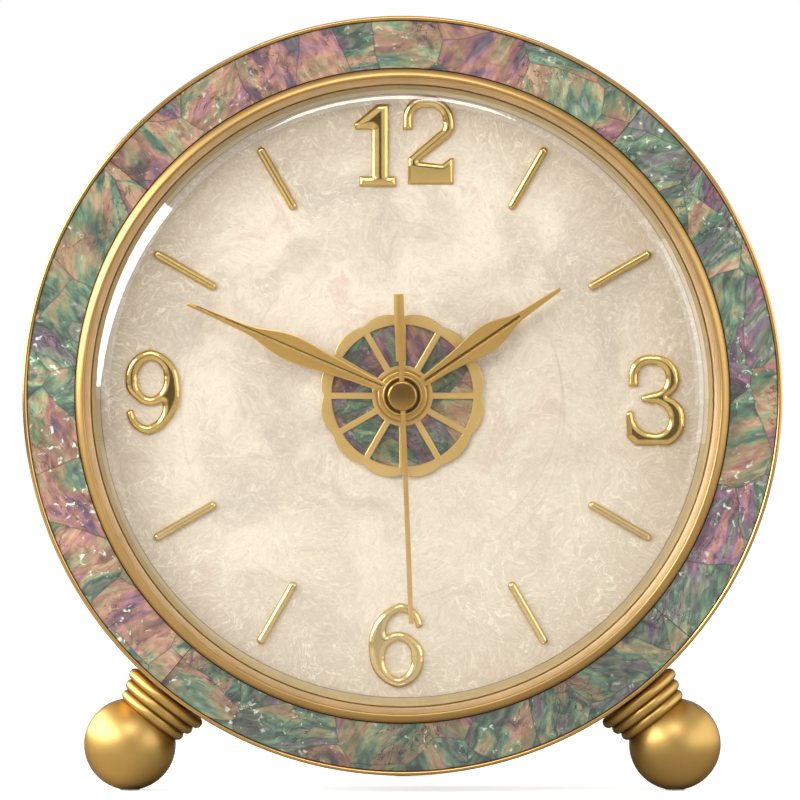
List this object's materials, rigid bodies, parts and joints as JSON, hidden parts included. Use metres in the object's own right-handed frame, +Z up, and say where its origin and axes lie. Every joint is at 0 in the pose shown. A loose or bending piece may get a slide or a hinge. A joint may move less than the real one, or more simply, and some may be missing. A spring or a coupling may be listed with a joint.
{
  "type": "clock",
  "caption": "Round quartz desk clock in a satin brass drum case with a shell-inlaid bezel, pearl dial, domed glass, leaf hands and ball feet",
  "frame": {"origin": "on the table plane, under the middle of the clock's bounding box", "axes": "+Z up; the dial faces -Y; +X is to the right of someone who reads the dial"},
  "size_m": [0.152, 0.0726, 0.1554],
  "materials": {
    "satin_brass": "satin spun brass, warm and soft in its highlights",
    "polished_gold": "polished pale gold plating with sharp highlights",
    "satin_gold_hands": "finely brushed gold plating",
    "pearl_dial": "cream mother-of-pearl sheet with fine veins and a soft sheen",
    "abalone_shell": "polished abalone shell mosaic in green, teal, pink and grey shards",
    "clear_glass": "clear polished glass",
    "lens_silicone": "translucent cream silicone",
    "clear_pad": "soft translucent rubber",
    "steel": "plain steel",
    "movement_black": "matt black moulded plastic",
    "gear_white": "natural white acetal",
    "bobbin_plastic": "pale moulded plastic",
    "copper_winding": "enamelled copper wire",
    "board_green": "green solder mask",
    "soft_iron": "pressed soft iron",
    "battery_jacket": "plain printed plastic jacket",
    "dial_plate": "plain sheet aluminium"
  },
  "bodies": {
    "clock_case": {"case_drum": "satin_brass", "front_frame": "satin_brass", "shell_inlay_1": "abalone_shell", "shell_inlay_2": "abalone_shell", "shell_inlay_3": "abalone_shell", "shell_inlay_4": "abalone_shell", "inner_bezel_ring": "satin_brass", "glass_lens": "clear_glass", "lens_gasket": "lens_silicone", "dial_pearl": "pearl_dial", "dial_backing": "dial_plate", "rosette_inlay": "abalone_shell", "rosette_fret": "satin_gold_hands", "numeral_twelve": "polished_gold", "numeral_three": "polished_gold", "numeral_six": "polished_gold", "numeral_nine": "polished_gold", "hour_batons": "polished_gold", "mounting_washer": "steel", "mounting_nut": "satin_gold_hands", "movement_front_case": "movement_black", "movement_rear_case": "movement_black", "train_bridge": "bobbin_plastic", "stator_plate": "soft_iron", "coil_core": "soft_iron", "coil_bobbin": "bobbin_plastic", "coil_winding": "copper_winding", "circuit_board": "board_green", "quartz_can": "steel", "battery_contact_plus": "steel", "battery_contact_minus": "steel", "back_cover": "satin_brass", "back_cover_screws": "steel", "ball_feet": "satin_brass", "foot_pads": "clear_pad", "rear_leg": "satin_brass", "foot_studs": "steel", "foot_nuts": "steel"},
    "seconds_hand_group": {"second_wheel": "gear_white", "second_hand": "satin_gold_hands", "second_cap": "polished_gold"},
    "third_wheel_group": {"third_wheel": "gear_white"},
    "centre_wheel_group": {"centre_wheel": "gear_white"},
    "intermediate_wheel_group": {"intermediate_wheel": "gear_white"},
    "rotor_group": {"rotor": "gear_white"},
    "minute_hand_group": {"minute_arbor": "gear_white", "minute_hand": "satin_gold_hands"},
    "minute_wheel_group": {"minute_wheel": "gear_white"},
    "hour_hand_group": {"hour_wheel": "gear_white", "hour_hand": "satin_gold_hands"},
    "setting_knob_group": {"set_knob": "movement_black"},
    "battery_group": {"battery": "battery_jacket"}
  },
  "joints": [
    {"name": "second_turn", "type": "hinge", "parent": "clock_case", "child": "seconds_hand_group", "pos_m": [0, -0.02379, 0.07943], "axis": [0, 1, 0], "continuous": true},
    {"name": "third_wheel_turn", "type": "hinge", "parent": "clock_case", "child": "third_wheel_group", "pos_m": [0.00677, -0.02379, 0.07697], "axis": [0, 1, 0], "continuous": true},
    {"name": "centre_wheel_turn", "type": "hinge", "parent": "clock_case", "child": "centre_wheel_group", "pos_m": [0, -0.02379, 0.07943], "axis": [0, 1, 0], "continuous": true},
    {"name": "intermediate_wheel_turn", "type": "hinge", "parent": "clock_case", "child": "intermediate_wheel_group", "pos_m": [0.0036, -0.02379, 0.08567], "axis": [0, 1, 0], "continuous": true},
    {"name": "rotor_turn", "type": "hinge", "parent": "clock_case", "child": "rotor_group", "pos_m": [0.00855, -0.02379, 0.09062], "axis": [0, 1, 0], "continuous": true},
    {"name": "minute_turn", "type": "hinge", "parent": "clock_case", "child": "minute_hand_group", "pos_m": [0, -0.02379, 0.07943], "axis": [0, 1, 0], "continuous": true},
    {"name": "minute_wheel_turn", "type": "hinge", "parent": "clock_case", "child": "minute_wheel_group", "pos_m": [-0.00606, -0.02379, 0.08293], "axis": [0, 1, 0], "continuous": true},
    {"name": "hour_turn", "type": "hinge", "parent": "clock_case", "child": "hour_hand_group", "pos_m": [0, -0.02379, 0.07943], "axis": [0, 1, 0], "continuous": true},
    {"name": "setting_knob_turn", "type": "hinge", "parent": "clock_case", "child": "setting_knob_group", "pos_m": [-0.01296, -0.02379, 0.08415], "axis": [0, 1, 0], "continuous": true},
    {"name": "battery_slide", "type": "slide", "parent": "clock_case", "child": "battery_group", "axis": [0, 1, 0], "range_m": [0, 0.02]}
  ],
  "couplings": [
    {"joint": "third_wheel_turn", "follows": "second_turn", "ratio": -0.13333},
    {"joint": "centre_wheel_turn", "follows": "second_turn", "ratio": 0.016667},
    {"joint": "intermediate_wheel_turn", "follows": "second_turn", "ratio": -5},
    {"joint": "rotor_turn", "follows": "second_turn", "ratio": 30},
    {"joint": "minute_wheel_turn", "follows": "minute_turn", "ratio": -0.33333},
    {"joint": "hour_turn", "follows": "minute_turn", "ratio": 0.083333},
    {"joint": "setting_knob_turn", "follows": "minute_turn", "ratio": 1}
  ]
}
